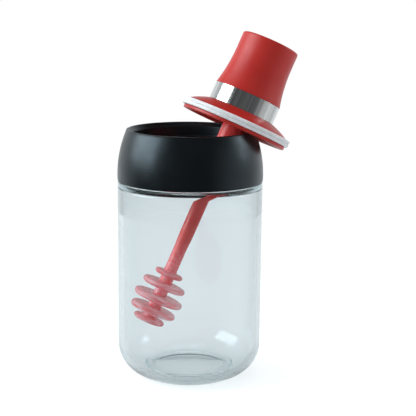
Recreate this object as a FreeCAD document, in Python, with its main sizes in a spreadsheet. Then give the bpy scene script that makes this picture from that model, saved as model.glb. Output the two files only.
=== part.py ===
import FreeCAD, Part
import math
import os
import re
import Sketcher
from FreeCAD import Vector

# Honey jar with a screw collar and a lid that carries a honey dipper.
# Origin: centre of the jar's foot, on the table. +Z up, +X to the right of the front view.
# The lid is lifted out and leans on the collar's right edge, its dipper still in the jar.

os.makedirs("parts", exist_ok=True)
doc = FreeCAD.newDocument("honey_jar")

# Driving sizes in millimetres and degrees
driving = [
    ("jar_radius", 36.0, "outside of the glass body"),
    ("glass_wall", 2.6, "glass thickness of the body"),
    ("base_corner", 16.4, "large round between foot and wall"),
    ("push_up", 2.4, "height of the hollow under the foot"),
    ("foot_slope", 1.0, "slope between hollow and standing ring"),
    ("foot_width", 1.0, "width of the standing ring"),
    ("push_up_edge", 0.4, "height of the hollow's edge"),
    ("floor_level", 3.0, "inside floor at its edge"),
    ("floor_rise", 2.2, "how much the floor rises to its middle"),
    ("inner_corner", 13.8, "round between inside floor and wall"),
    ("shoulder_level", 98.9, "top of the glass shoulder"),
    ("shoulder_round", 2.5, "round of the shoulder's outer edge"),
    ("shoulder_sweep", 4.0, "the two inside rounds below the neck"),
    ("sweep_rise", 2.4, "where they begin, above the shoulder"),
    ("neck_step", 5.6, "from the glass body in to the neck"),
    ("neck_wall", 2.8, "glass thickness of the neck"),
    ("neck_height", 16.1, "neck above the shoulder"),
    ("lip_round", 0.9, "rounds of the glass lip"),
    ("neck_fillet", 1.2, "fillet between shoulder and neck"),
    ("thread_room", 1.7, "radial room for the thread between neck and collar"),
    ("gasket_thick", 1.6, "mouth gasket"),
    ("gasket_inset", 0.2, "gasket bore short of the neck bore"),
    ("gasket_overlap", 0.8, "gasket rim beyond the neck"),
    ("gasket_round", 0.35, "its edges"),
    ("collar_gap", 0.4, "gap between shoulder and collar"),
    ("collar_overhang", 0.1, "collar beyond the glass body"),
    ("collar_corner", 0.9, "round of the lower edge"),
    ("collar_height", 25.38, "height of the collar"),
    ("rim_over_neck", 1.45, "collar's rim beyond the neck that it screws onto"),
    ("collar_bulge", 57.0, "radius of the collar's curved side"),
    ("rim_round", 0.68, "outer round of the rim"),
    ("rim_inner_round", 0.5, "inner round of the rim"),
    ("rim_width", 1.6, "thickness of the rim"),
    ("lead_in", 1.3, "from the mouth in to the throat"),
    ("throat_draft", 0.35, "taper of the throat"),
    ("lead_depth", 2.28, "depth of the lead-in"),
    ("ledge_inset", 0.6, "ledge bore short of the neck bore"),
    ("ledge_thick", 1.6, "thickness of that ledge"),
    ("lid_lean", 24.83, "lean of the lid's axis from upright, degrees"),
    ("lid_heading", 18.92, "heading of that lean from +X towards +Y, degrees"),
    ("lid_overhang", 9.22, "lid centre inside the edge of the rim"),
    ("lid_drop", 0.08, "lid centre below the rim"),
    ("ring_clearance", 1.4, "lower ring of the lid base short of the throat"),
    ("ring_bottom", -0.45, "its underside"),
    ("ring_top", 1.3, "its upper side"),
    ("ring_round", 0.5, "its outer rounds"),
    ("skirt_width", 4.1, "lower ring, from its edge to the hollow under the lid"),
    ("roof_level", 4.2, "roof of the hollow"),
    ("roof_slope", 4.6, "sloping edge of the roof"),
    ("groove_depth", 2.6, "groove of the seal, from the lower ring in"),
    ("groove_top", 4.3, "upper side of the groove"),
    ("flange_inset", 0.55, "flange above the seal short of the lower ring"),
    ("flange_edge", 4.85, "top of the flange's edge"),
    ("flange_round", 0.45, "lower round of the flange's edge"),
    ("flange_crown", 40.0, "radius of the flange's curved top"),
    ("band_seat", 9.05, "level the steel band stands on"),
    ("band_seat_radius", 17.35, "outside of that seat"),
    ("band_radius", 17.17, "outside of the steel band"),
    ("band_sheet", 0.65, "its thickness"),
    ("band_top", 17.7, "its upper edge"),
    ("band_edge", 0.12, "broken edges of the band"),
    ("snug", 0.05, "radial clearance of the fixed fits"),
    ("spigot_radius", 12.55, "spigot that carries the knob"),
    ("spigot_top", 25.2, "top of the spigot"),
    ("stem_radius", 5.9, "thick stem of the dipper"),
    ("stem_length", 26.2, "stem below the roof"),
    ("stem_draft", 0.2, "taper of the stem"),
    ("plug_radius", 4.55, "plug that holds the dipper in the lid"),
    ("plug_length", 10.8, "its length"),
    ("stem_fillet", 1.3, "flare of the stem at the roof"),
    ("edge_break", 0.5, "small chamfers"),
    ("seal_squeeze", 0.25, "upper lip beyond the throat"),
    ("seal_low_lip", 0.9, "lower lip beyond the lower ring"),
    ("seal_waist", 0.25, "waist between the lips beyond the lower ring"),
    ("knob_foot_radius", 17.2, "knob at the steel band"),
    ("knob_radius", 14.75, "straight part of the knob"),
    ("knob_straight", 38.0, "level where the knob gets straight"),
    ("knob_flare", 82.5, "radius of the knob's flare"),
    ("knob_top", 46.1, "top of the knob"),
    ("knob_round", 0.9, "round of its top edge"),
    ("knob_cap", 2.5, "thickness of its top"),
    ("rod_radius", 3.15, "upper part of the dipper's rod"),
    ("rod_low_radius", 2.7, "lower part of the rod"),
    ("head_height", 19.0, "level of the dipper's first disc when the lid is closed"),
    ("rod_step_rise", 15.9, "from the first disc up to the foot of the rod's step"),
    ("rod_step_length", 4.0, "length of that step"),
    ("core_radius", 3.0, "core of the dipper's head"),
    ("core_fillet", 0.6, "fillets of discs and core"),
    ("nose", 0.5, "crown of the last disc's underside"),
]

# Discs of the dipper's head from the top down: drop below the first, radius, half thickness
discs = [
    ("disc1", 0.0, 7.25, 1.1),
    ("disc2", 6.1, 11.2, 1.3),
    ("disc3", 13.1, 12.65, 1.4),
    ("disc4", 19.5, 11.7, 1.4),
    ("disc5", 24.6, 8.0, 1.2),
]
for name, drop, radius, half in discs:
    driving.append((name + "_drop", drop, "first disc down to " + name))
    driving.append((name + "_radius", radius, "edge of " + name))
    driving.append((name + "_half", half, "half the thickness of " + name))

# Sizes that follow from the driving ones
following = [
    ("foot_radius", "jar_radius - base_corner - foot_width"),
    ("push_up_radius", "foot_radius - foot_slope"),
    ("glass_inner", "jar_radius - glass_wall"),
    ("neck_radius", "jar_radius - neck_step"),
    ("neck_bore", "neck_radius - neck_wall"),
    ("neck_top", "shoulder_level + neck_height"),
    ("sweep_top", "shoulder_level + sweep_rise"),
    ("sweep_drop", "2 * sqrt(shoulder_sweep * (glass_inner - neck_bore) - (glass_inner - neck_bore)^2 / 4)"),
    ("push_up_ball", "(push_up_radius^2 + (push_up - push_up_edge)^2) / (2 * (push_up - push_up_edge))"),
    ("floor_ball", "((glass_inner - inner_corner)^2 + floor_rise^2) / (2 * floor_rise)"),
    ("thread_bore", "neck_radius + thread_room"),
    ("gasket_inner", "neck_bore - gasket_inset"),
    ("gasket_outer", "neck_radius + gasket_overlap"),
    ("gasket_top", "neck_top + gasket_thick"),
    ("ledge_top", "gasket_top + ledge_thick"),
    ("ledge_bore", "neck_bore - ledge_inset"),
    ("collar_bottom", "shoulder_level + collar_gap"),
    ("collar_top", "collar_bottom + collar_height"),
    ("collar_low_radius", "jar_radius + collar_overhang"),
    ("collar_rim_radius", "neck_radius + rim_over_neck"),
    ("mouth_radius", "collar_rim_radius - rim_width"),
    ("throat_radius", "mouth_radius - lead_in"),
    ("throat_foot_radius", "throat_radius - throat_draft"),
    ("throat_top", "collar_top - lead_depth"),
    ("lid_out", "collar_rim_radius - lid_overhang"),
    ("lid_up", "collar_top - lid_drop"),
    ("ring_radius", "throat_foot_radius - ring_clearance"),
    ("recess_radius", "ring_radius - skirt_width"),
    ("roof_edge", "recess_radius - roof_slope"),
    ("groove_radius", "ring_radius - groove_depth"),
    ("flange_radius", "ring_radius - flange_inset"),
    ("seal_lip_radius", "throat_radius + seal_squeeze"),
    ("seal_low_radius", "ring_radius + seal_low_lip"),
    ("seal_waist_radius", "ring_radius + seal_waist"),
    ("band_inner", "band_radius - band_sheet"),
    ("knob_bore", "spigot_radius + snug"),
    ("socket_radius", "plug_radius + snug"),
    ("plug_top", "roof_level + plug_length"),
    ("stem_end", "roof_level - stem_length"),
    ("head_level", "head_height - shoulder_level"),
    ("rod_step_foot", "head_level + rod_step_rise"),
    ("rod_step_top", "rod_step_foot + rod_step_length"),
    ("nose_ball", "((disc5_radius - disc5_half)^2 + nose^2) / (2 * nose)"),
]
for name, drop, radius, half in discs:
    following.append((name + "_level", "head_level - %s_drop" % name))

sheet = doc.addObject("Spreadsheet::Sheet", "Sizes")
for row, (alias, value, note) in enumerate(driving, start=1):
    sheet.set("A%d" % row, note)
    sheet.set("B%d" % row, "%.4f" % value)
    sheet.setAlias("B%d" % row, alias)
doc.recompute()
home = {alias: "Sizes" for alias, value, note in driving}


def named(hit):
    return home[hit.group(1)] + "." + hit.group(1)


def bound(text):
    # the same formula with every size named with its sheet
    return re.sub(r"\b([a-z][a-z0-9_]*)\b(?!\s*\()", named, text)


follow_sheet = doc.addObject("Spreadsheet::Sheet", "Following")
for row, (alias, formula) in enumerate(following, start=1):
    follow_sheet.set("A%d" % row, alias)
    follow_sheet.set("B%d" % row, "=" + bound(formula).replace("Following.", ""))
    follow_sheet.setAlias("B%d" % row, alias)
    home[alias] = "Following"
doc.recompute()
probe = "D1"


def number(text):
    follow_sheet.set(probe, "=" + bound(text).replace("Following.", ""))
    follow_sheet.recompute()
    return float(follow_sheet.get(probe))


def make_body(label):
    body = doc.addObject("PartDesign::Body", label)
    body.Label = label
    return body


def origin_plane(body, role):
    for item in body.Origin.OriginFeatures:
        if item.Role == role:
            return item
    raise RuntimeError("no plane " + role)


def add_profile(body, name, outline):
    # outline: one row per corner, (radius, level, arc to the next corner or None);
    # an arc is (its radius, 1 for a left turn or -1 for a right turn)
    sketch = body.newObject("Sketcher::SketchObject", name)
    sketch.AttachmentSupport = [(origin_plane(body, "XZ_Plane"), "")]
    sketch.MapMode = "FlatFace"
    spots = [Vector(number(x), number(z), 0) for x, z, arc in outline]
    ends = []
    for index, (x, z, arc) in enumerate(outline):
        here = spots[index]
        there = spots[(index + 1) % len(spots)]
        if arc is None:
            edge = sketch.addGeometry(Part.LineSegment(here, there), False)
            ends.append((edge, 1, 2))
            continue
        radius = number(arc[0])
        half = (there - here) * 0.5
        side = Vector(-half.y, half.x, 0).normalize() * arc[1]
        drop = math.sqrt(max(radius**2 - half.Length**2, 0.0))
        centre = here + half + side * drop
        curve = Part.Arc(here, centre - side * radius, there)
        edge = sketch.addGeometry(curve, False)
        ends.append((edge, 1, 2) if arc[1] > 0 else (edge, 2, 1))
    for index, (edge, first, last) in enumerate(ends):
        after = ends[(index + 1) % len(ends)]
        sketch.addConstraint(Sketcher.Constraint("Coincident", edge, last, after[0], after[1]))
    for index, (x, z, arc) in enumerate(outline):
        edge, first, last = ends[index]
        for kind, text, axis, value in (
            ("DistanceX", x, -2, spots[index].x),
            ("DistanceY", z, -1, spots[index].y),
        ):
            if text == "0":
                sketch.addConstraint(Sketcher.Constraint("PointOnObject", edge, first, axis))
            else:
                place = sketch.addConstraint(Sketcher.Constraint(kind, edge, first, value))
                sketch.setExpression("Constraints[%d]" % place, bound(text))
        if arc is not None:
            place = sketch.addConstraint(Sketcher.Constraint("Radius", edge, number(arc[0])))
            sketch.setExpression("Constraints[%d]" % place, bound(arc[0]))
    return sketch


def add_turned(body, outline):
    sketch = add_profile(body, body.Label + "_profile", outline)
    turned = body.newObject("PartDesign::Revolution", body.Label + "_turned")
    turned.Profile = sketch
    turned.ReferenceAxis = (sketch, ["V_Axis"])
    turned.Angle = 360.0
    sketch.Visibility = False
    doc.recompute()
    return turned


# Glass jar: thick foot with a hollow underneath, large lower round, small shoulder, narrower neck
glass_jar = make_body("glass_jar")
add_turned(glass_jar, [
    ("0", "push_up", ("push_up_ball", -1)),
    ("push_up_radius", "push_up_edge", None),
    ("foot_radius", "0", None),
    ("jar_radius - base_corner", "0", ("base_corner", 1)),
    ("jar_radius", "base_corner", None),
    ("jar_radius", "shoulder_level - shoulder_round", ("shoulder_round", 1)),
    ("jar_radius - shoulder_round", "shoulder_level", None),
    ("neck_radius + neck_fillet", "shoulder_level", ("neck_fillet", -1)),
    ("neck_radius", "shoulder_level + neck_fillet", None),
    ("neck_radius", "neck_top - lip_round", ("lip_round", 1)),
    ("neck_radius - lip_round", "neck_top", None),
    ("neck_bore + lip_round", "neck_top", ("lip_round", 1)),
    ("neck_bore", "neck_top - lip_round", None),
    ("neck_bore", "sweep_top", ("shoulder_sweep", 1)),
    ("(neck_bore + glass_inner) / 2", "sweep_top - sweep_drop / 2", ("shoulder_sweep", -1)),
    ("glass_inner", "sweep_top - sweep_drop", None),
    ("glass_inner", "floor_level + inner_corner", ("inner_corner", -1)),
    ("glass_inner - inner_corner", "floor_level", ("floor_ball", 1)),
    ("0", "floor_level + floor_rise", None),
])
# Flat gasket between the glass lip and the collar's ledge
mouth_gasket = make_body("mouth_gasket")
add_turned(mouth_gasket, [
    ("gasket_inner", "neck_top", None),
    ("gasket_outer", "neck_top", None),
    ("gasket_outer", "gasket_top - gasket_round", ("gasket_round", 1)),
    ("gasket_outer - gasket_round", "gasket_top", None),
    ("gasket_inner + gasket_round", "gasket_top", ("gasket_round", 1)),
    ("gasket_inner", "gasket_top - gasket_round", None),
])

# Screw collar: curved outside, skirt over the neck, ledge over the gasket and tapered throat for the seal
screw_collar = make_body("screw_collar")
add_turned(screw_collar, [
    ("collar_low_radius - collar_corner", "collar_bottom", ("collar_corner", 1)),
    ("collar_low_radius", "collar_bottom + collar_corner", ("collar_bulge", 1)),
    ("collar_rim_radius", "collar_top - rim_round", ("rim_round", 1)),
    ("collar_rim_radius - rim_round", "collar_top", None),
    ("mouth_radius + rim_inner_round", "collar_top", ("rim_inner_round", 1)),
    ("mouth_radius", "collar_top - rim_inner_round", None),
    ("throat_radius", "throat_top", None),
    ("throat_foot_radius", "ledge_top", None),
    ("ledge_bore", "ledge_top", None),
    ("ledge_bore", "gasket_top", None),
    ("thread_bore", "gasket_top", None),
    ("thread_bore", "collar_bottom + 2 * edge_break", None),
    ("thread_bore + edge_break", "collar_bottom", None),
])
# Lid pieces are turned about the lid's own leaning axis; level 0 is the middle of its lower ring
lean = math.radians(number("lid_lean"))
heading = math.radians(number("lid_heading"))
lid_axis = Vector(math.sin(lean) * math.cos(heading), math.sin(lean) * math.sin(heading), math.cos(lean))
lid_centre = Vector(
    number("lid_out") * math.cos(heading),
    number("lid_out") * math.sin(heading),
    number("lid_up"),
)
lid_place = FreeCAD.Placement(lid_centre, FreeCAD.Rotation(Vector(0, 0, 1), lid_axis))

# Lid base: flange with the seal's groove, hollow underneath, hub with a socket for the dipper's plug
lid_base = make_body("lid_base")
add_turned(lid_base, [
    ("0", "plug_top", None),
    ("socket_radius", "plug_top", None),
    ("socket_radius", "roof_level", None),
    ("roof_edge", "roof_level", None),
    ("recess_radius", "ring_top + 2 * edge_break", None),
    ("recess_radius", "ring_bottom + 2 * edge_break", None),
    ("recess_radius + 2 * edge_break + 0.1", "ring_bottom", None),
    ("ring_radius - ring_round", "ring_bottom", ("ring_round", 1)),
    ("ring_radius", "ring_bottom + ring_round", None),
    ("ring_radius", "ring_top - ring_round", ("ring_round", 1)),
    ("ring_radius - ring_round", "ring_top", None),
    ("groove_radius", "ring_top", None),
    ("groove_radius", "groove_top", None),
    ("flange_radius - flange_round", "groove_top", ("flange_round", 1)),
    ("flange_radius", "groove_top + flange_round", None),
    ("flange_radius", "flange_edge", ("flange_crown", 1)),
    ("band_seat_radius", "band_seat", None),
    ("band_inner - snug", "band_seat", None),
    ("band_inner - snug", "band_top", None),
    ("spigot_radius", "band_top", None),
    ("spigot_radius", "spigot_top - edge_break", None),
    ("spigot_radius - edge_break", "spigot_top", None),
    ("0", "spigot_top", None),
])

# Soft seal in the groove: foot, lower lip and wider upper lip
lid_seal = make_body("lid_seal")
add_turned(lid_seal, [
    ("groove_radius + snug", "ring_top", None),
    ("ring_radius + 0.1", "ring_top", None),
    ("seal_low_radius", "ring_top + 0.9", None),
    ("seal_low_radius - 0.1", "ring_top + 1.2", None),
    ("seal_waist_radius", "ring_top + 1.25", None),
    ("seal_waist_radius + 0.1", "ring_top + 1.65", None),
    ("seal_lip_radius - 0.15", "groove_top - 0.85", None),
    ("seal_lip_radius", "groove_top - 0.6", None),
    ("seal_lip_radius - 0.1", "groove_top - 0.35", None),
    ("flange_radius - flange_round", "groove_top", None),
    ("groove_radius + snug", "groove_top", None),
])

# Steel band round the hub
steel_band = make_body("steel_band")
add_turned(steel_band, [
    ("band_inner", "band_seat", None),
    ("band_radius - band_edge", "band_seat", ("band_edge", 1)),
    ("band_radius", "band_seat + band_edge", None),
    ("band_radius", "band_top - band_edge", ("band_edge", 1)),
    ("band_radius - band_edge", "band_top", None),
    ("band_inner", "band_top", None),
])

# Hollow knob with a flared foot
knob_shell = make_body("knob_shell")
add_turned(knob_shell, [
    ("knob_bore", "band_top", None),
    ("knob_foot_radius - 0.25", "band_top", ("0.25", 1)),
    ("knob_foot_radius", "band_top + 0.25", ("knob_flare", -1)),
    ("knob_radius", "knob_straight", None),
    ("knob_radius", "knob_top - knob_round", ("knob_round", 1)),
    ("knob_radius - knob_round", "knob_top", None),
    ("0", "knob_top", None),
    ("0", "knob_top - knob_cap", None),
    ("knob_bore - 1", "knob_top - knob_cap", ("1", -1)),
    ("knob_bore", "knob_top - knob_cap - 1", None),
])

# Dipper: plug and thick stem, stepped rod, head of round-edged discs
dipper = make_body("dipper")
outline = [
    ("0", "disc5_level - disc5_half - nose", ("nose_ball", 1)),
]
for name, drop, radius, half in reversed(discs):
    level, radius, half = name + "_level", name + "_radius", name + "_half"
    if name != "disc5":
        outline += [
            ("core_radius", "%s - %s - core_fillet" % (level, half), ("core_fillet", -1)),
            ("core_radius + core_fillet", "%s - %s" % (level, half), None),
        ]
    outline += [
        ("%s - %s" % (radius, half), "%s - %s" % (level, half), (half, 1)),
        (radius, level, (half, 1)),
        ("%s - %s" % (radius, half), "%s + %s" % (level, half), None),
        ("core_radius + core_fillet", "%s + %s" % (level, half), ("core_fillet", -1)),
        ("core_radius", "%s + %s + core_fillet" % (level, half), None),
    ]
outline += [
    ("rod_low_radius", "disc1_level + disc1_half + 3 * core_fillet", None),
    ("rod_low_radius", "rod_step_foot", None),
    ("rod_radius", "rod_step_top", None),
    ("rod_radius", "stem_end - stem_radius / 2", None),
    ("stem_radius - stem_draft - edge_break", "stem_end", None),
    ("stem_radius - stem_draft", "stem_end + edge_break", None),
    ("stem_radius", "roof_level - stem_fillet", ("stem_fillet", -1)),
    ("stem_radius + stem_fillet", "roof_level", None),
    ("plug_radius", "roof_level", None),
    ("plug_radius", "plug_top - edge_break", None),
    ("plug_radius - edge_break", "plug_top", None),
    ("0", "plug_top", None),
]
add_turned(dipper, outline)

follow_sheet.clear(probe)
fixed_bodies = [glass_jar, mouth_gasket, screw_collar]
lid_bodies = [lid_base, lid_seal, steel_band, knob_shell, dipper]
for body in lid_bodies:
    body.Placement = lid_place
doc.recompute()

# Every object is sound and every piece is one valid solid before anything is written
for item in doc.Objects:
    if "Invalid" in item.State or "Error" in item.State:
        raise RuntimeError("%s: %s" % (item.Name, item.State))
for body in fixed_bodies + lid_bodies:
    shape = body.Shape
    if shape.isNull() or not shape.isValid() or len(shape.Solids) != 1:
        raise RuntimeError(body.Label + " is not one valid solid")
    print(body.Label, "volume %.1f" % shape.Volume, "faces", len(shape.Faces))
for body in fixed_bodies + lid_bodies:
    body.Shape.exportStep("parts/%s.step" % body.Label)
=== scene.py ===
import math
import bpy
import bmesh
from mathutils import Matrix, Vector, noise


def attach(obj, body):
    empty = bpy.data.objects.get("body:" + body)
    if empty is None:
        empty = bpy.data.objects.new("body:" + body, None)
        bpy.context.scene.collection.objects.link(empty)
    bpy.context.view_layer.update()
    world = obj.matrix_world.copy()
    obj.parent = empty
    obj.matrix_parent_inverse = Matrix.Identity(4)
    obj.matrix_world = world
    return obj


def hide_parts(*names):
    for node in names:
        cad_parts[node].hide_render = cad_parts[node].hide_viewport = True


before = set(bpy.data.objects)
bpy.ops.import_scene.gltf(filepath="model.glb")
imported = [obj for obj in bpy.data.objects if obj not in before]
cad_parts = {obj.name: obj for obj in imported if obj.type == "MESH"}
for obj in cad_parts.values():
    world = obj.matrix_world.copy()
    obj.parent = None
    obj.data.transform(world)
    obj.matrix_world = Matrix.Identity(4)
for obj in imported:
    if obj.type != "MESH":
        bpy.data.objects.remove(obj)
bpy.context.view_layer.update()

mm = 0.001
print("frame loaded:", sorted(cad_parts))

# where the lifted lid stands, in degrees and millimetres, the same numbers as in the solid model
lidPose = {
    "lean": 24.83,
    "heading": 18.92,
    "out": 22.63,
    "up": 124.6,
}
lean = math.radians(lidPose["lean"])
heading = math.radians(lidPose["heading"])
lidAxis = Vector((math.sin(lean) * math.cos(heading), math.sin(lean) * math.sin(heading), math.cos(lean)))
lidOut = lidPose["out"]
lidCentre = Vector((lidOut * math.cos(heading), lidOut * math.sin(heading), lidPose["up"])) * mm
lidPlace = Matrix.Translation(lidCentre) @ Vector((0, 0, 1)).rotation_difference(lidAxis).to_matrix().to_4x4()

# how finely turned pieces are made, in degrees and millimetres
turning = {
    "around": 192,        # faces round a piece
    "fine": 7.0,          # largest step along an arc, as an angle
    "longest": 1.6,       # and as a length
    "fewest": 3,          # steps in the smallest arc
    "axis": 1e-5,         # a point nearer to the axis than this is on it
    "samePoint": 1e-4,
    "near": 0.02,         # how near to a wall's radius a point belongs to that wall
    "cornerFrom": 22,     # a corner sharper than this gets a round
    "cornerShare": 0.42,  # the most that a round takes of the flats beside it
    "cornerSteps": 4,
    "flatFrom": 0.7,      # a flat longer than this gets a loop near each end
    "loopIn": 0.1,
    "sharpFrom": 50,      # edges sharper than this are shaded sharp
}


# profile tools: an outline row is (radius, level) or (radius, level, arc radius, turn) in millimetres,
# the arc leading to the next row, turn 1 to the left and -1 to the right
def arcBetween(here, there, radius, turn, fine):
    half = (there - here) / 2
    side = Vector((-half.y, half.x)).normalized() * turn
    centre = here + half + side * math.sqrt(max(radius * radius - half.length_squared, 0))
    first = here - centre
    sweep = -first.angle_signed(there - centre)
    byAngle = math.ceil(abs(math.degrees(sweep)) / fine)
    byLength = math.ceil(abs(sweep) * radius / turning["longest"])
    steps = max(turning["fewest"], byAngle, byLength)
    return [centre + Matrix.Rotation(sweep * step / steps, 2) @ first for step in range(steps)]


def tracePath(outline, fine):
    spots = [Vector(row[:2]) for row in outline]
    path = []
    for index, row in enumerate(outline):
        here = spots[index]
        there = spots[(index + 1) % len(spots)]
        if len(row) == 4:
            path += arcBetween(here, there, row[2], row[3], fine)
        else:
            path.append(here)
    return path


def isHardCorner(here, back, ahead):
    if min(back.length, ahead.length) < turning["samePoint"] or here.x < turning["axis"]:
        return False
    return math.degrees((-back).angle(ahead)) >= turning["cornerFrom"]


def softenCorners(path, size, closed):
    # every hard corner gets a small round, as moulded edges have
    soft = []
    count = len(path)
    for index, here in enumerate(path):
        back = path[index - 1] - here
        ahead = path[(index + 1) % count] - here
        isEnd = not closed and index in (0, count - 1)
        if isEnd or not isHardCorner(here, back, ahead):
            soft.append(here)
            continue
        share = turning["cornerShare"]
        trim = min(size, share * back.length, share * ahead.length)
        start = here + back.normalized() * trim
        end = here + ahead.normalized() * trim
        for step in range(turning["cornerSteps"] + 1):
            t = step / turning["cornerSteps"]
            soft.append(start * (1 - t) ** 2 + here * (2 * t * (1 - t)) + end * t * t)
    return soft


def holdFlats(path, closed, spacing):
    # extra loops keep long flats flat beside their rounds; spacing fills them for shapes that need it
    held = []
    count = len(path)
    for index, here in enumerate(path):
        held.append(here)
        if index == count - 1 and not closed:
            break
        there = path[(index + 1) % count]
        span = (there - here).length
        if span < turning["flatFrom"]:
            continue
        cuts = [turning["loopIn"] / span, 1 - turning["loopIn"] / span]
        fill = spacing(here, there) if spacing else 0
        if fill and span > 2 * fill:
            parts = math.ceil(span / fill)
            cuts = [part / parts for part in range(1, parts)]
        held += [here.lerp(there, cut) for cut in cuts]
    return held


def turnPiece(name, outline, soft, fine=turning["fine"], spacing=None, reshape=None,
              around=turning["around"]):
    # one closed skin turned round the axis; reshape may move a point by its angle
    closed = not (outline[0][0] == 0 and outline[-1][0] == 0)
    path = holdFlats(softenCorners(tracePath(outline, fine), soft, closed), closed, spacing)
    verts, rings = [], []
    for spot in path:
        if spot.x < turning["axis"]:
            rings.append([len(verts)] * around)
            verts.append((0, 0, spot.y * mm))
            continue
        ring = []
        for step in range(around):
            angle = 2 * math.pi * step / around
            radius, level = reshape(spot.x, spot.y, angle) if reshape else (spot.x, spot.y)
            ring.append(len(verts))
            verts.append((radius * math.cos(angle) * mm, radius * math.sin(angle) * mm, level * mm))
        rings.append(ring)
    faces = []
    for index in range(len(rings) if closed else len(rings) - 1):
        low, high = rings[index], rings[(index + 1) % len(rings)]
        for step in range(around):
            after = (step + 1) % around
            face = [low[step], low[after], high[after], high[step]]
            face = [corner for place, corner in enumerate(face) if corner not in face[:place]]
            if len(face) > 2:
                faces.append(face)
    mesh = bpy.data.meshes.new(name)
    mesh.from_pydata(verts, [], faces)
    work = bmesh.new()
    work.from_mesh(mesh)
    bmesh.ops.recalc_face_normals(work, faces=work.faces)
    work.to_mesh(mesh)
    work.free()
    mesh.shade_smooth()
    mesh.set_sharp_from_angle(angle=math.radians(turning["sharpFrom"]))
    return mesh


def addPiece(name, mesh, material, body, node, place=None):
    piece = bpy.data.objects.new(name, mesh)
    bpy.context.scene.collection.objects.link(piece)
    mesh.materials.append(material)
    if place:
        piece.matrix_world = place
    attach(piece, body)
    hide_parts(node)
    print("piece", name, len(mesh.polygons), "faces")


# material tools: in the looks below a noise is (scale per metre, detail, roughness),
# a relief (strength, height in metres) and a range (from, to)
class Graph:
    def __init__(self, owner):
        owner.use_nodes = True
        self.nodes = owner.node_tree.nodes
        self.links = owner.node_tree.links

    def add(self, kind, **settings):
        node = self.nodes.new(kind)
        for key, value in settings.items():
            setattr(node, key, value)
        return node

    def join(self, source, target):
        # a number or a colour is set on the socket, anything else is linked to it
        if isinstance(source, (int, float)):
            target.default_value = source
        elif isinstance(source, tuple):
            target.default_value = (*source, 1)
        else:
            self.links.new(source, target)

    def sum(self, operation, *sources):
        node = self.add("ShaderNodeMath", operation=operation)
        for source, target in zip(sources, node.inputs):
            self.join(source, target)
        return node.outputs[0]

    def spread(self, source, low, high, fromLow=0.3, fromHigh=0.7):
        node = self.add("ShaderNodeMapRange")
        node.inputs["From Min"].default_value = fromLow
        node.inputs["From Max"].default_value = fromHigh
        node.inputs["To Min"].default_value = low
        node.inputs["To Max"].default_value = high
        self.join(source, node.inputs["Value"])
        return node.outputs["Result"]

    def blend(self, factor, first, second):
        node = self.add("ShaderNodeMix", data_type="RGBA")
        self.join(factor, node.inputs["Factor"])
        self.join(first, node.inputs["A"])
        self.join(second, node.inputs["B"])
        return node.outputs["Result"]

    def blendShaders(self, factor, first, second):
        node = self.add("ShaderNodeMixShader")
        self.join(factor, node.inputs["Fac"])
        self.join(first, node.inputs[1])
        self.join(second, node.inputs[2])
        return node.outputs["Shader"]

    def glow(self, colour, strength):
        node = self.add("ShaderNodeEmission")
        self.join(colour, node.inputs["Color"])
        self.join(strength, node.inputs["Strength"])
        return node.outputs["Emission"]

    def split(self, place):
        node = self.add("ShaderNodeSeparateXYZ")
        self.join(place, node.inputs["Vector"])
        return node.outputs

    def point(self, *parts):
        node = self.add("ShaderNodeCombineXYZ")
        for source, target in zip(parts, node.inputs):
            self.join(source, target)
        return node.outputs["Vector"]


class Finish(Graph):
    def __init__(self, name):
        self.material = bpy.data.materials.new(name)
        super().__init__(self.material)
        self.shader = self.nodes["Principled BSDF"]
        self.output = self.nodes["Material Output"]
        self.place = self.add("ShaderNodeTexCoord").outputs["Object"]

    def set(self, **values):
        for key, value in values.items():
            self.shader.inputs[key.replace("_", " ")].default_value = value

    def feed(self, key, source):
        self.join(source, self.shader.inputs[key])

    def stretched(self, scale):
        node = self.add("ShaderNodeMapping")
        node.inputs["Scale"].default_value = scale
        self.join(self.place, node.inputs["Vector"])
        return node.outputs["Vector"]

    def turnOf(self, x, y):
        return self.sum("ARCTAN2", y, x)

    def grain(self, scale, detail, rough, place=None):
        node = self.add("ShaderNodeTexNoise")
        node.inputs["Scale"].default_value = scale
        node.inputs["Detail"].default_value = detail
        node.inputs["Roughness"].default_value = rough
        self.join(place or self.place, node.inputs["Vector"])
        return node.outputs["Fac"]

    def relief(self, height, strength, distance, under=None):
        node = self.add("ShaderNodeBump")
        node.inputs["Strength"].default_value = strength
        node.inputs["Distance"].default_value = distance
        self.join(height, node.inputs["Height"])
        if under:
            self.join(under, node.inputs["Normal"])
        return node.outputs["Normal"]


# glass: clear with a faint cool tint, slow waves from moulding and a few hair-fine scuffs
glassLook = {
    "colour": (0.872, 0.886, 0.894),
    "index": 1.45,
    "waves": (38, 1.0, 0.5),
    "waveRelief": (0.008, 0.0008),
    "scuffs": (900, 2.0, 0.6),
    "scuffRelief": (0.004, 0.0001),
    "shade": (0.985, 0.99, 0.99),  # what each surface leaves of the light for the pieces inside
    "bends": 4,                    # after so many bends a ray goes straight on
    "depth": (0.673, 0.764, 0.777),
    "density": 100.0,
}


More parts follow.
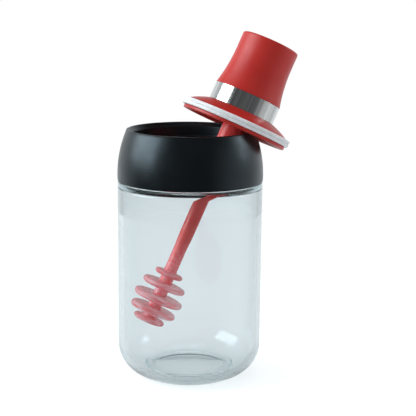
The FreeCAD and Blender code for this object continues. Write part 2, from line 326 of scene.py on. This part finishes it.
def clearGlass():
    look = glassLook
    finish = Finish("clearGlass")
    finish.set(Base_Color=(*look["colour"], 1), Roughness=0.0, IOR=look["index"], Transmission_Weight=1.0)
    waves = finish.relief(finish.grain(*look["waves"]), *look["waveRelief"])
    finish.feed("Normal", finish.relief(finish.grain(*look["scuffs"]), *look["scuffRelief"], waves))
    # light reaches what stands inside the jar
    clear = finish.add("ShaderNodeBsdfTransparent")
    finish.join(look["shade"], clear.inputs["Color"])
    ray = finish.add("ShaderNodeLightPath").outputs
    lit = finish.sum("MAXIMUM", ray["Is Shadow Ray"], ray["Is Diffuse Ray"])
    deep = finish.sum("GREATER_THAN", ray["Ray Depth"], look["bends"] + 0.5)
    straight = finish.sum("MAXIMUM", lit, deep)
    surface = finish.blendShaders(straight, finish.shader.outputs["BSDF"], clear.outputs["BSDF"])
    finish.join(surface, finish.output.inputs["Surface"])
    # long ways inside the glass, as at its edges, come out darker
    body = finish.add("ShaderNodeVolumeAbsorption")
    finish.join(look["depth"], body.inputs["Color"])
    finish.join(look["density"], body.inputs["Density"])
    finish.join(body.outputs["Volume"], finish.output.inputs["Volume"])
    return finish.material


# collar: near-black satin plastic with turned rings, a fine moulded grain and slightly polished patches
collarLook = {
    "dark": (0.0016, 0.0022, 0.0026),
    "light": (0.0036, 0.0046, 0.0052),
    "patches": (55, 3.0, 0.5),
    "rough": (0.30, 0.38),
    "handling": (140, 4.0, 0.6),
    "shineTint": (0.72, 0.90, 1.0, 1),
    "skin": (2600, 2.0, 0.5),
    "skinRelief": (0.12, 0.00008),
    "rings": (420, 2.0, 0.5),
    "ringStretch": (0.02, 0.02, 1.0),
    "ringRelief": (0.08, 0.0003),
    "swell": (30, 1.0, 0.5),
    "swellRelief": (0.06, 0.0006),
}


def blackSatin():
    look = collarLook
    finish = Finish("blackSatin")
    patches = finish.spread(finish.grain(*look["patches"]), 0, 1)
    finish.feed("Base Color", finish.blend(patches, look["dark"], look["light"]))
    finish.feed("Roughness", finish.spread(finish.grain(*look["handling"]), *look["rough"]))
    finish.set(Specular_Tint=look["shineTint"])
    skin = finish.relief(finish.grain(*look["skin"]), *look["skinRelief"])
    turned = finish.grain(*look["rings"], finish.stretched(look["ringStretch"]))
    rings = finish.relief(turned, *look["ringRelief"], skin)
    finish.feed("Normal", finish.relief(finish.grain(*look["swell"]), *look["swellRelief"], rings))
    return finish.material


# lid: warm red satin plastic, the colour a little uneven, with a soft grain
lidLook = {
    "dark": (0.45, 0.012, 0.007),
    "light": (0.52, 0.020, 0.013),
    "rough": (0.37, 0.46),
    "glowDepth": (0.0012, 0.0004, 0.0003),
    "glowShare": 0.04,
}
# the same for every red piece
redGrain = {
    "patches": (48, 3.0, 0.5),
    "handling": (170, 4.0, 0.6),
    "skin": (2200, 2.0, 0.5),
    "skinRelief": (0.10, 0.00008),
    "swell": (26, 1.0, 0.5),
    "swellRelief": (0.05, 0.0006),
}


def redSatin(name, look):
    finish = Finish(name)
    patches = finish.spread(finish.grain(*redGrain["patches"]), 0, 1)
    finish.feed("Base Color", finish.blend(patches, look["dark"], look["light"]))
    finish.feed("Roughness", finish.spread(finish.grain(*redGrain["handling"]), *look["rough"]))
    finish.set(Subsurface_Weight=look["glowShare"], Subsurface_Radius=look["glowDepth"], Subsurface_Scale=1.0)
    skin = finish.relief(finish.grain(*redGrain["skin"]), *redGrain["skinRelief"])
    finish.feed("Normal", finish.relief(finish.grain(*redGrain["swell"]), *redGrain["swellRelief"], skin))
    return finish


# dipper: a smoother, slightly translucent red, painted paler towards its head as glare, with light streaks
# round the discs, partly flow lines and partly painted highlight
dipperLook = {
    "dark": (0.60, 0.050, 0.045),
    "light": (0.68, 0.075, 0.070),
    "rough": (0.15, 0.24),
    "glowDepth": (0.005, 0.0022, 0.0020),
    "glowShare": 0.6,
    "shine": 0.25,
    # painted glare: the red the head is painted, paler than the rod's
    "headGlareRed": (0.97, 0.17, 0.19),
    # streak colour, partly flow lines and partly painted highlight
    "flowAndSheen": (1.0, 0.54, 0.58),
    "flowAndSheenLines": (950, 2.0, 0.6),
    "flowAndSheenRange": (0.38, 0.68),
    "flowAndSheenWrap": 0.0015,              # metres of noise for a radian round the rod
    "headGlareRange": (-0.060, -0.088),   # levels on the rod and in the head, in metres
    "clear": 0.32,                   # what the discs let through at each surface
    "clearRange": (0.0042, 0.0062),  # radii in metres, from the stalk outwards
}


def dipperRed():
    look = dipperLook
    finish = redSatin("dipperRed", look)
    x, y, z = finish.split(finish.place)
    radius = finish.sum("SQRT", finish.sum("ADD", finish.sum("POWER", x, 2), finish.sum("POWER", y, 2)))
    wrapped = finish.sum("MULTIPLY", finish.turnOf(x, y), look["flowAndSheenWrap"])
    # light streaks round the discs: partly flow lines, partly painted highlight
    lines = finish.grain(*look["flowAndSheenLines"], finish.point(radius, wrapped, z))
    streaked = finish.blend(finish.spread(lines, 0, 1, *look["flowAndSheenRange"]), look["headGlareRed"], look["flowAndSheen"])
    # painted glare: from the rod down into the head the colour turns paler
    headGlare = finish.spread(z, 0, 1, *look["headGlareRange"])
    plain = finish.shader.inputs["Base Color"].links[0].from_socket
    finish.feed("Base Color", finish.blend(headGlare, plain, streaked))
    finish.set(Specular_IOR_Level=look["shine"])
    # the stalk shows faintly through the thin discs
    discs = finish.sum("MULTIPLY", headGlare, finish.spread(radius, 0, look["clear"], *look["clearRange"]))
    finish.feed("Alpha", finish.sum("SUBTRACT", 1, discs))
    return finish.material


# seal and gasket: milky matt silicone with fine ribs across it and a trace of dust in its grain
siliconeLook = {
    "dark": (0.66, 0.675, 0.69),
    "light": (0.78, 0.79, 0.80),
    "clouds": (160, 2.0, 0.5),
    "rough": (0.34, 0.46),
    "dust": (700, 3.0, 0.5),
    "glowDepth": (0.0018, 0.0018, 0.0019),
    "glowShare": 0.6,
    "index": 1.41,
    "ribs": 190.0,
    "ribRelief": (0.07, 0.00006),
    "skin": (1600, 2.0, 0.5),
    "skinRelief": (0.03, 0.0001),
}


def milkySilicone(name):
    look = siliconeLook
    finish = Finish(name)
    clouds = finish.spread(finish.grain(*look["clouds"]), 0, 1)
    finish.feed("Base Color", finish.blend(clouds, look["dark"], look["light"]))
    finish.feed("Roughness", finish.spread(finish.grain(*look["dust"]), *look["rough"]))
    finish.set(Subsurface_Weight=look["glowShare"], Subsurface_Radius=look["glowDepth"], Subsurface_Scale=1.0,
               IOR=look["index"])
    x, y = finish.split(finish.place)[:2]
    ribs = finish.sum("SINE", finish.sum("MULTIPLY", finish.turnOf(x, y), look["ribs"]))
    skin = finish.relief(finish.grain(*look["skin"]), *look["skinRelief"])
    finish.feed("Normal", finish.relief(ribs, *look["ribRelief"], skin))
    return finish.material


# steel band: bright, with hair-fine lines from edge to edge
steelLook = {
    "dark": (0.40, 0.385, 0.365),
    "light": (0.78, 0.79, 0.785),
    "bands": (650, 3.0, 0.6),
    "rough": (0.12, 0.18),
    "lines": (4200, 3.0, 0.6),
    "lineRelief": (0.05, 0.00003),
    "wrap": 0.017,                 # metres of noise for a radian round the band
    "stretch": 0.02,               # and for a metre up it
}


def brushedBand():
    look = steelLook
    finish = Finish("brushedBand")
    x, y, z = finish.split(finish.place)
    wrapped = finish.sum("MULTIPLY", finish.turnOf(x, y), look["wrap"])
    unrolled = finish.point(wrapped, finish.sum("MULTIPLY", z, look["stretch"]))
    lines = finish.grain(*look["lines"], unrolled)
    bands = finish.spread(finish.grain(*look["bands"], unrolled), 0, 1)
    finish.feed("Base Color", finish.blend(bands, look["dark"], look["light"]))
    finish.feed("Roughness", finish.spread(lines, *look["rough"]))
    finish.feed("Normal", finish.relief(lines, *look["lineRelief"]))
    finish.set(Metallic=1.0)
    return finish.material


glass = clearGlass()
black = blackSatin()
red = redSatin("redSatin", lidLook).material
dipperPlastic = dipperRed()
silicone = milkySilicone("milkySilicone")
gasketSilicone = milkySilicone("gasketSilicone")
steel = brushedBand()
print("finishes ready")


# screw thread: one ridge that fades in and out, wound round neck and collar alike
thread = {
    "pitch": 4.2,
    "turns": 1.25,
    "start": 103.4,
    "foot": 2.0,
    "crest": 0.9,
    "depth": 1.3,
    "fade": 0.07,
    "neckSpacing": 0.25,
    "collarSpacing": 0.3,
    "collarShift": -1.7,
    "neckFrom": 101,
    "collarRange": (100.5, 116),
}


def isAt(radius, wall):
    return abs(radius - wall) < turning["near"]


def ridgeAt(level, angle, shift=0.0):
    best = 0.0
    for lap in range(math.ceil(thread["turns"]) + 1):
        along = angle / (2 * math.pi) + lap
        if along > thread["turns"]:
            continue
        off = abs(level - (thread["start"] + shift + thread["pitch"] * along))
        flank = (thread["foot"] / 2 - off) / ((thread["foot"] - thread["crest"]) / 2)
        rise = min(max(flank, 0), 1)
        rise = rise * rise * (3 - 2 * rise)
        fade = min(along, thread["turns"] - along) / thread["fade"]
        best = max(best, rise * min(max(fade, 0), 1))
    return best * thread["depth"]


# glass jar
jar = {
    "radius": 36.0,
    "corner": 16.4,          # the round between wall and foot
    "inner": 33.4,
    "innerCorner": 13.8,
    "innerCornerTop": 16.8,
    "shoulder": 98.9,
    "rise": 0.3,             # from the neck's foot to the shoulder's edge
    "dip": (33.6, 99.1),     # a point of the shoulder between them
    "edge": 0.4,
    "neck": 30.4,
    "neckFillet": 1.2,
    "bore": 27.6,
    "lip": 0.9,
    "top": 115.0,
    "sweep": 3.7,            # the inner shoulder, two equal arcs
    "sweepTop": 102.0,
    "sweepFoot": 94.8,
    "standing": 1.0,         # width of the ring that it stands on
    "hollow": 0.4,           # edge of the dished underside
    "hollowTop": 2.4,        # and its middle
    "hollowArc": 78.44,
    "floor": 5.2,
    "floorArc": 88.41,
    "floorEdge": (18.3, 3.285),
    "ringFoot": (22.9, 3.4),
    "ring": (20.1, 22.0, 4.3),
    "ringCrown": 1.6,
    "wobble": 0.012,         # of the inner wall
    "wobbleLength": 38,      # for a unit of noise up the wall
    "wobbleAround": 1.3,     # units of noise for a radian round it
    "wobbleRange": (12, 97),
    "inside": 33.5,          # between these levels a smaller radius is on the inside
    "wallSpacing": 3.0,
    "soft": 0.25,
    "fine": 4.0,
    "around": 256,
}


def jarWander(radius, level, angle):
    # thread outside the neck, and the slightly uneven inside of moulded glass
    if isAt(radius, jar["neck"]) and level > thread["neckFrom"]:
        return radius + ridgeAt(level, angle), level
    low, high = jar["wobbleRange"]
    if radius < jar["inside"] and low < level < high:
        reach = jar["wobbleAround"]
        spot = Vector((math.cos(angle) * reach, math.sin(angle) * reach, level / jar["wobbleLength"]))
        return radius + jar["wobble"] * noise.noise(spot), level
    return radius, level


def jarSpacing(here, there):
    if isAt(here.x, jar["neck"]) and isAt(there.x, jar["neck"]):
        return thread["neckSpacing"]
    return jar["wallSpacing"] if isAt(here.x, there.x) and isAt(here.x, jar["inner"]) else 0


def jarOutline():
    foot = jar["radius"] - jar["corner"]
    shoulderTop = jar["shoulder"] + jar["rise"]
    lipFoot = jar["top"] - jar["lip"]
    ringIn, ringOut, ringTop = jar["ring"]
    return [
        (0, jar["hollowTop"], jar["hollowArc"], -1),
        (foot - 2 * jar["standing"], jar["hollow"]),
        (foot - jar["standing"], 0),
        (foot, 0, jar["corner"], 1),
        (jar["radius"], jar["corner"]),
        (jar["radius"], shoulderTop - jar["edge"], jar["edge"], 1),
        (jar["radius"] - jar["edge"], shoulderTop),
        jar["dip"],
        (jar["neck"] + jar["neckFillet"], jar["shoulder"], jar["neckFillet"], -1),
        (jar["neck"], jar["shoulder"] + jar["neckFillet"]),
        (jar["neck"], lipFoot, jar["lip"], 1),
        (jar["neck"] - jar["lip"], jar["top"]),
        (jar["bore"] + jar["lip"], jar["top"], jar["lip"], 1),
        (jar["bore"], lipFoot),
        (jar["bore"], jar["sweepTop"], jar["sweep"], 1),
        ((jar["bore"] + jar["inner"]) / 2, (jar["sweepTop"] + jar["sweepFoot"]) / 2, jar["sweep"], -1),
        (jar["inner"], jar["sweepFoot"]),
        (jar["inner"], jar["innerCornerTop"], jar["innerCorner"], -1),
        jar["ringFoot"],
        (ringOut, ringTop, jar["ringCrown"], 1),
        (ringIn, ringTop),
        (*jar["floorEdge"], jar["floorArc"], 1),
        (0, jar["floor"]),
    ]


jarMesh = turnPiece("glassJar", jarOutline(), jar["soft"], jar["fine"], jarSpacing, jarWander, jar["around"])
addPiece("glassJar", jarMesh, glass, "jar", "glass_jar")

# mouth gasket, a flat ring on the glass lip
gasket = {
    "inner": 27.4,
    "outer": 31.2,
    "foot": 115.0,
    "top": 116.6,
    "edge": 0.35,
    "soft": 0.1,
}
gasketOutline = [
    (gasket["inner"], gasket["foot"]),
    (gasket["outer"], gasket["foot"]),
    (gasket["outer"], gasket["top"] - gasket["edge"], gasket["edge"], 1),
    (gasket["outer"] - gasket["edge"], gasket["top"]),
    (gasket["inner"] + gasket["edge"], gasket["top"], gasket["edge"], 1),
    (gasket["inner"], gasket["top"] - gasket["edge"]),
]
addPiece("mouthGasket", turnPiece("mouthGasket", gasketOutline, gasket["soft"]),
         gasketSilicone, "gasket", "mouth_gasket")

# screw collar
collar = {
    "foot": 99.3,
    "radius": 36.1,
    "footEdge": 0.9,
    "side": 57.0,          # the arc from foot to rim
    "rim": (31.85, 124.0),
    "rimEdge": 0.68,
    "mouth": 30.25,
    "mouthEdge": 0.5,
    "throat": (28.95, 122.4),
    "throatFoot": 28.6,
    "ledge": 27.0,
    "ledgeFoot": 116.6,
    "ledgeTop": 118.2,
    "inner": 32.1,
    "innerFoot": 100.3,
    "leadIn": 0.5,
    "soft": 0.18,
    "fine": 5.0,
}


def collarThread(radius, level, angle):
    low, high = thread["collarRange"]
    if isAt(radius, collar["inner"]) and low < level < high:
        return radius - ridgeAt(level, angle, thread["collarShift"]), level
    return radius, level


def collarSpacing(here, there):
    return thread["collarSpacing"] if isAt(here.x, collar["inner"]) and isAt(there.x, collar["inner"]) else 0


def collarOutline():
    rim, rimLevel = collar["rim"]
    top = rimLevel + collar["rimEdge"]
    return [
        (collar["radius"] - collar["footEdge"], collar["foot"], collar["footEdge"], 1),
        (collar["radius"], collar["foot"] + collar["footEdge"], collar["side"], 1),
        (rim, rimLevel, collar["rimEdge"], 1),
        (rim - collar["rimEdge"], top),
        (collar["mouth"] + collar["mouthEdge"], top, collar["mouthEdge"], 1),
        (collar["mouth"], top - collar["mouthEdge"]),
        collar["throat"],
        (collar["throatFoot"], collar["ledgeTop"]),
        (collar["ledge"], collar["ledgeTop"]),
        (collar["ledge"], collar["ledgeFoot"]),
        (collar["inner"], collar["ledgeFoot"]),
        (collar["inner"], collar["innerFoot"]),
        (collar["inner"] + collar["leadIn"], collar["foot"]),
    ]


collarMesh = turnPiece("screwCollar", collarOutline(), collar["soft"], collar["fine"],
                       collarSpacing, collarThread)
addPiece("screwCollar", collarMesh, black, "collar", "screw_collar")

# levels that the lid's pieces share, counted from a point inside the rim under the flange
lid = {
    "grooveFoot": 1.3,
    "plugFoot": 4.2,
    "grooveTop": 4.3,
    "lipTop": 4.75,
    "bandFoot": 9.05,
    "plugTop": 15.0,
    "bandTop": 17.7,
}

# lid base: flange, rim underneath, groove for the seal and the hub for band and knob
base = {
    "socket": 4.6,
    "web": 18.5,
    "rimInner": 23.1,
    "rimRange": (2.3, 0.55),
    "rimFoot": (24.2, -0.45),
    "rim": 27.2,
    "rimEdge": 0.5,
    "groove": 24.6,
    "flange": 26.65,
    "flangeEdge": 0.45,
    "flangeRise": 0.1,
    "crown": 40.0,     # arc of the flange's upper side, and the radius where it ends
    "crownEnd": 17.35,
    "hub": 16.47,
    "pin": 12.55,
    "pinTop": 25.2,
    "pinChamfer": 0.5,
    "soft": 0.22,
}


def baseOutline():
    rimFoot, rimBottom = base["rimFoot"]
    rimIn = base["rim"] - base["rimEdge"]
    return [
        (0, lid["plugTop"]),
        (base["socket"], lid["plugTop"]),
        (base["socket"], lid["plugFoot"]),
        (base["web"], lid["plugFoot"]),
        (base["rimInner"], base["rimRange"][0]),
        (base["rimInner"], base["rimRange"][1]),
        (rimFoot, rimBottom),
        (rimIn, rimBottom, base["rimEdge"], 1),
        (base["rim"], rimBottom + base["rimEdge"]),
        (base["rim"], lid["grooveFoot"] - base["rimEdge"], base["rimEdge"], 1),
        (rimIn, lid["grooveFoot"]),
        (base["groove"], lid["grooveFoot"]),
        (base["groove"], lid["grooveTop"]),
        (base["flange"] - base["flangeEdge"], lid["grooveTop"], base["flangeEdge"], 1),
        (base["flange"], lid["lipTop"]),
        (base["flange"], lid["lipTop"] + base["flangeRise"], base["crown"], 1),
        (base["crownEnd"], lid["bandFoot"]),
        (base["hub"], lid["bandFoot"]),
        (base["hub"], lid["bandTop"]),
        (base["pin"], lid["bandTop"]),
        (base["pin"], base["pinTop"] - base["pinChamfer"]),
        (base["pin"] - base["pinChamfer"], base["pinTop"]),
        (0, base["pinTop"]),
    ]


addPiece("lidBase", turnPiece("lidBase", baseOutline(), base["soft"]),
         red, "lid", "lid_base", lidPlace)

# lid seal: two soft lips with a notch between them
seal = {
    "inner": 24.65,
    "lip": 28.6,
    "lipEdge": 0.7,
    "notch": 0.4,
    "notchIn": 28.3,
    "notchLevel": 2.9,
    "upperLip": 28.75,
    "upperEdge": 0.75,
    "back": (26.5, 26.95),
    "soft": 0.15,
}
sealOutline = [
    (seal["inner"], lid["grooveFoot"]),
    (seal["lip"] - seal["lipEdge"], lid["grooveFoot"], seal["lipEdge"], 1),
    (seal["lip"], lid["grooveFoot"] + seal["lipEdge"]),
    (seal["lip"], seal["notchLevel"] - seal["notch"], seal["notch"], 1),
    (seal["notchIn"], seal["notchLevel"], seal["notch"], -1),
    (seal["lip"], seal["notchLevel"] + seal["notch"]),
    (seal["upperLip"], lid["lipTop"] - seal["upperEdge"], seal["upperEdge"], 1),
    (seal["upperLip"] - seal["upperEdge"], lid["lipTop"]),
    (seal["back"][1], lid["lipTop"]),
    (seal["back"][0], lid["grooveTop"]),
    (seal["inner"], lid["grooveTop"]),
]
addPiece("lidSeal", turnPiece("lidSeal", sealOutline, seal["soft"]),
         silicone, "lid", "lid_seal", lidPlace)

# steel band
band = {
    "inner": 16.52,
    "outer": 17.17,
    "edge": 0.12,
    "soft": 0.05,
}
bandOutline = [
    (band["inner"], lid["bandFoot"]),
    (band["outer"] - band["edge"], lid["bandFoot"], band["edge"], 1),
    (band["outer"], lid["bandFoot"] + band["edge"]),
    (band["outer"], lid["bandTop"] - band["edge"], band["edge"], 1),
    (band["outer"] - band["edge"], lid["bandTop"]),
    (band["inner"], lid["bandTop"]),
]
addPiece("steelBand", turnPiece("steelBand", bandOutline, band["soft"]),
         steel, "lid", "steel_band", lidPlace)

# knob: hollow, its side swept out to the band
knob = {
    "bore": 12.6,
    "boreTop": 43.6,
    "boreEdge": 1.0,
    "foot": 17.2,
    "footEdge": 0.25,
    "flare": 82.5,
    "waist": 14.75,
    "waistLevel": 38.0,
    "top": 46.1,
    "topEdge": 0.9,
    "soft": 0.12,
    "fine": 5.0,
}
knobOutline = [
    (0, knob["boreTop"]),
    (knob["bore"] - knob["boreEdge"], knob["boreTop"], knob["boreEdge"], -1),
    (knob["bore"], knob["boreTop"] - knob["boreEdge"]),
    (knob["bore"], lid["bandTop"]),
    (knob["foot"] - knob["footEdge"], lid["bandTop"], knob["footEdge"], 1),
    (knob["foot"], lid["bandTop"] + knob["footEdge"], knob["flare"], -1),
    (knob["waist"], knob["waistLevel"]),
    (knob["waist"], knob["top"] - knob["topEdge"], knob["topEdge"], 1),
    (knob["waist"] - knob["topEdge"], knob["top"]),
    (0, knob["top"]),
]
addPiece("knobShell", turnPiece("knobShell", knobOutline, knob["soft"], knob["fine"]),
         red, "lid", "knob_shell", lidPlace)

# dipper: head of five discs (level, radius, half thickness), stepped rod, thick stem and plug
dipper = {
    "discs": [
        (-79.9, 7.25, 1.2),
        (-86.0, 11.2, 1.5),
        (-93.0, 12.65, 1.65),
        (-99.4, 11.7, 1.6),
        (-104.5, 8.0, 1.2),
    ],
    "core": 3.4,
    "fillet": 0.6,
    "nose": 0.5,
    "noseArc": 46.49,
    "rodLow": 3.25,
    "rodLowRange": (-77.0, -66.0),
    "rod": 3.6,
    "rodRange": (-58.0, -24.95),
    "stem": [(5.2, -22.0), (5.7, -21.5), (5.9, 2.9)],
    "stemFillet": 1.3,
    "plug": 4.55,
    "plugChamfer": 0.5,
    "soft": 0.2,
    "fine": 9.0,
    "around": 96,
}


def dipperOutline():
    core, fillet = dipper["core"], dipper["fillet"]
    lastLevel, lastHalf = dipper["discs"][-1][0], dipper["discs"][-1][2]
    rows = [(0, lastLevel - lastHalf - dipper["nose"], dipper["noseArc"], 1)]
    for level, radius, half in reversed(dipper["discs"]):
        if level != lastLevel:
            rows += [(core, level - half - fillet, fillet, -1), (core + fillet, level - half)]
        rows += [
            (radius - half, level - half, half, 1),
            (radius, level, half, 1),
            (radius - half, level + half),
            (core + fillet, level + half, fillet, -1),
            (core, level + half + fillet),
        ]
    rows += [(dipper["rodLow"], level) for level in dipper["rodLowRange"]]
    rows += [(dipper["rod"], level) for level in dipper["rodRange"]]
    stemTop, seat = dipper["stem"][-1]
    rows += dipper["stem"][:-1] + [
        (stemTop, seat, dipper["stemFillet"], -1),
        (stemTop + dipper["stemFillet"], lid["plugFoot"]),
        (dipper["plug"], lid["plugFoot"]),
        (dipper["plug"], lid["plugTop"] - dipper["plugChamfer"]),
        (dipper["plug"] - dipper["plugChamfer"], lid["plugTop"]),
        (0, lid["plugTop"]),
    ]
    return rows


dipperMesh = turnPiece("dipper", dipperOutline(), dipper["soft"], dipper["fine"], around=dipper["around"])
addPiece("dipper", dipperMesh, dipperPlastic, "lid", "dipper", lidPlace)


# stage: small pale floor in a white room
stageLook = {
    "radius": 0.42,
    "around": 96,
    "floor": (0.85, 0.855, 0.86),
    "worn": (0.87, 0.865, 0.86),
    "wear": (14, 2.0, 0.5),
    "rough": 0.9,
    "shine": 0.1,
    "lift": 0.35,          # its own glow for the camera
    "liftInGlass": 0.29,   # and through the glass
    "mirrored": 0.3,       # what is left of that in what the glass mirrors inside
    "veil": 0.5,           # share of the backdrop's white in it through the glass
}
roomLook = {
    "fill": (0.48, 0.49, 0.50),       # light for matt surfaces
    "mirrorTint": (0.95, 1.0, 1.03),  # of the room in what shines; strengths and ranges of its walls follow
    "dark": 0.025,
    "front": 0.085,
    "frontRange": (-0.85, -0.25),
    "below": 0.85,
    "belowRange": (-0.18, 0.0),
    "belowBeside": (0.65, 0.95),
    "loft": 1.0,
    "loftRange": (0.45, 0.70),
    "loftBeside": (-0.90, -0.40),
    "behind": 0.95,
    "behindRange": (0.05, 0.60),
    "beside": 0.60,
    "besideRange": (0.55, 0.90),
    "wallTop": (0.25, 0.60),
    "through": (1.05, 1.10, 1.12),    # the backdrop seen through the glass
    "inside": (0.64, 0.67, 0.68),     # and mirrored inside it
}


def paleFloor():
    look = stageLook
    finish = Finish("paleFloor")
    finish.feed("Base Color", finish.blend(finish.grain(*look["wear"]), look["floor"], look["worn"]))
    finish.set(Roughness=look["rough"], Specular_IOR_Level=look["shine"])
    ray = finish.add("ShaderNodeLightPath").outputs
    plain = finish.sum("MULTIPLY", ray["Is Camera Ray"], look["lift"])
    direct = finish.spread(ray["Glossy Depth"], 1, look["mirrored"], 0, 1)
    throughGlass = finish.sum("MULTIPLY", ray["Is Transmission Ray"], direct)
    lift = finish.sum("MAXIMUM", plain, finish.sum("MULTIPLY", throughGlass, look["liftInGlass"]))
    lifted = finish.add("ShaderNodeAddShader")
    finish.join(finish.shader.outputs["BSDF"], lifted.inputs[0])
    finish.join(finish.glow((1, 1, 1), lift), lifted.inputs[1])
    # through the glass the floor takes on some of the backdrop's white, so that its far edge hardly shows
    share = finish.spread(ray["Glossy Depth"], look["veil"], 0, 0, 1)
    veiled = finish.sum("MULTIPLY", ray["Is Transmission Ray"], share)
    surface = finish.blendShaders(veiled, lifted.outputs[0], finish.glow(roomLook["through"], 1.0))
    finish.join(surface, finish.output.inputs["Surface"])
    return finish.material


def floorMesh():
    radius, count = stageLook["radius"], stageLook["around"]
    angles = [2 * math.pi * step / count for step in range(count)]
    verts = [(radius * math.cos(angle), radius * math.sin(angle), 0) for angle in angles]
    mesh = bpy.data.meshes.new("floor")
    mesh.from_pydata(verts, [], [list(range(count))])
    return mesh


floor = bpy.data.objects.new("floor", floorMesh())
bpy.context.scene.collection.objects.link(floor)
floor.data.materials.append(paleFloor())
floor.visible_glossy = False


def studioWorld():
    # white for the camera and through glass, even fill for matt surfaces, and for shine a dark room
    # with pale walls behind the jar, to its right and low on the right, and a pale corner high on the left
    look = roomLook
    world = bpy.data.worlds.new("studio")
    bpy.context.scene.world = world
    room = Graph(world)
    x, y, z = room.split(room.add("ShaderNodeTexCoord").outputs["Generated"])
    low = room.spread(z, 1, 0, *look["wallTop"])
    walls = [
        room.sum("MULTIPLY", room.spread(y, 0, look["behind"], *look["behindRange"]), low),
        room.sum("MULTIPLY", room.spread(x, 0, look["beside"], *look["besideRange"]), low),
        room.spread(y, look["front"], 0, *look["frontRange"]),
        room.sum("MULTIPLY", room.spread(z, look["below"], 0, *look["belowRange"]),
                 room.spread(x, 0, 1, *look["belowBeside"])),
        room.sum("MULTIPLY", room.spread(z, 0, look["loft"], *look["loftRange"]),
                 room.spread(x, 1, 0, *look["loftBeside"])),
    ]
    brightest = walls[0]
    for wall in walls[1:]:
        brightest = room.sum("MAXIMUM", brightest, wall)
    mirrored = room.blend(room.sum("ADD", brightest, look["dark"]), (0, 0, 0), look["mirrorTint"])
    ray = room.add("ShaderNodeLightPath").outputs
    lighting = room.blend(ray["Is Glossy Ray"], look["fill"], mirrored)
    insideGlass = room.sum("GREATER_THAN", ray["Glossy Depth"], 0.5)  # mirrored at least once
    glassy = room.blend(insideGlass, look["through"], look["inside"])
    backdrop = room.blend(ray["Is Transmission Ray"], (1, 1, 1), glassy)
    seen = room.sum("MAXIMUM", ray["Is Camera Ray"], ray["Is Transmission Ray"])
    room.join(room.blend(seen, lighting, backdrop), room.nodes["Background"].inputs["Color"])


studioWorld()

# lights: soft boxes with place, aim, size and radiance; the top one doesn't show in what shines
lamps = {
    "leftBox": {"at": (-0.84, -0.10, 0.46), "aim": (0, 0, 0.10), "size": (0.78, 0.56), "glow": 6.3,
                "tint": (0.88, 0.96, 1.0), "mirrored": True},
    "rightBox": {"at": (0.86, 0.10, 0.40), "aim": (0, 0, 0.10), "size": (0.28, 0.32), "glow": 4.3,
                 "tint": (0.90, 0.96, 1.0), "mirrored": True},
    "topBox": {"at": (0.0, 0.10, 1.05), "aim": (0, 0, 0.10), "size": (0.55, 0.45), "glow": 3.3,
               "tint": (0.96, 0.98, 1.0), "mirrored": False},
}


def addLamp(name, lamp):
    data = bpy.data.lights.new(name, "AREA")
    data.shape = "RECTANGLE"
    data.size, data.size_y = lamp["size"]
    data.energy = lamp["glow"] * math.pi * lamp["size"][0] * lamp["size"][1]
    data.color = lamp["tint"]
    light = bpy.data.objects.new(name, data)
    bpy.context.scene.collection.objects.link(light)
    light.location = lamp["at"]
    light.rotation_euler = (Vector(lamp["aim"]) - Vector(lamp["at"])).to_track_quat("-Z", "Y").to_euler()
    light.visible_glossy = lamp["mirrored"]


for name, lamp in lamps.items():
    addLamp(name, lamp)
print("stage and lights ready")

# camera: a pinhole fitted to the jar's edges, in millimetres and degrees
view = {
    "back": 554.50,
    "height": 194.16,
    "pitch": 11.128,
    "yaw": 0.926,
    "roll": 0.607,
    "lens": 97.854,
    "sensor": 36.0,
    "clip": (0.01, 10.0),  # metres
}


def addCamera():
    pitch, yaw, roll = [math.radians(view[key]) for key in ("pitch", "yaw", "roll")]
    ahead = Vector((math.sin(yaw) * math.cos(pitch), math.cos(yaw) * math.cos(pitch), -math.sin(pitch)))
    level = Vector((math.cos(yaw), -math.sin(yaw), 0))
    upright = level.cross(ahead)
    side = level * math.cos(roll) + upright * math.sin(roll)
    above = upright * math.cos(roll) - level * math.sin(roll)
    data = bpy.data.cameras.new("camera")
    data.lens = view["lens"]
    data.sensor_width = view["sensor"]
    data.clip_start, data.clip_end = view["clip"]
    camera = bpy.data.objects.new("camera", data)
    bpy.context.scene.collection.objects.link(camera)
    camera.matrix_world = Matrix((
        (side.x, above.x, -ahead.x, 0),
        (side.y, above.y, -ahead.y, -view["back"] * mm),
        (side.z, above.z, -ahead.z, view["height"] * mm),
        (0, 0, 0, 1),
    ))
    bpy.context.scene.camera = camera


addCamera()
bpy.context.scene.view_settings.view_transform = "Standard"
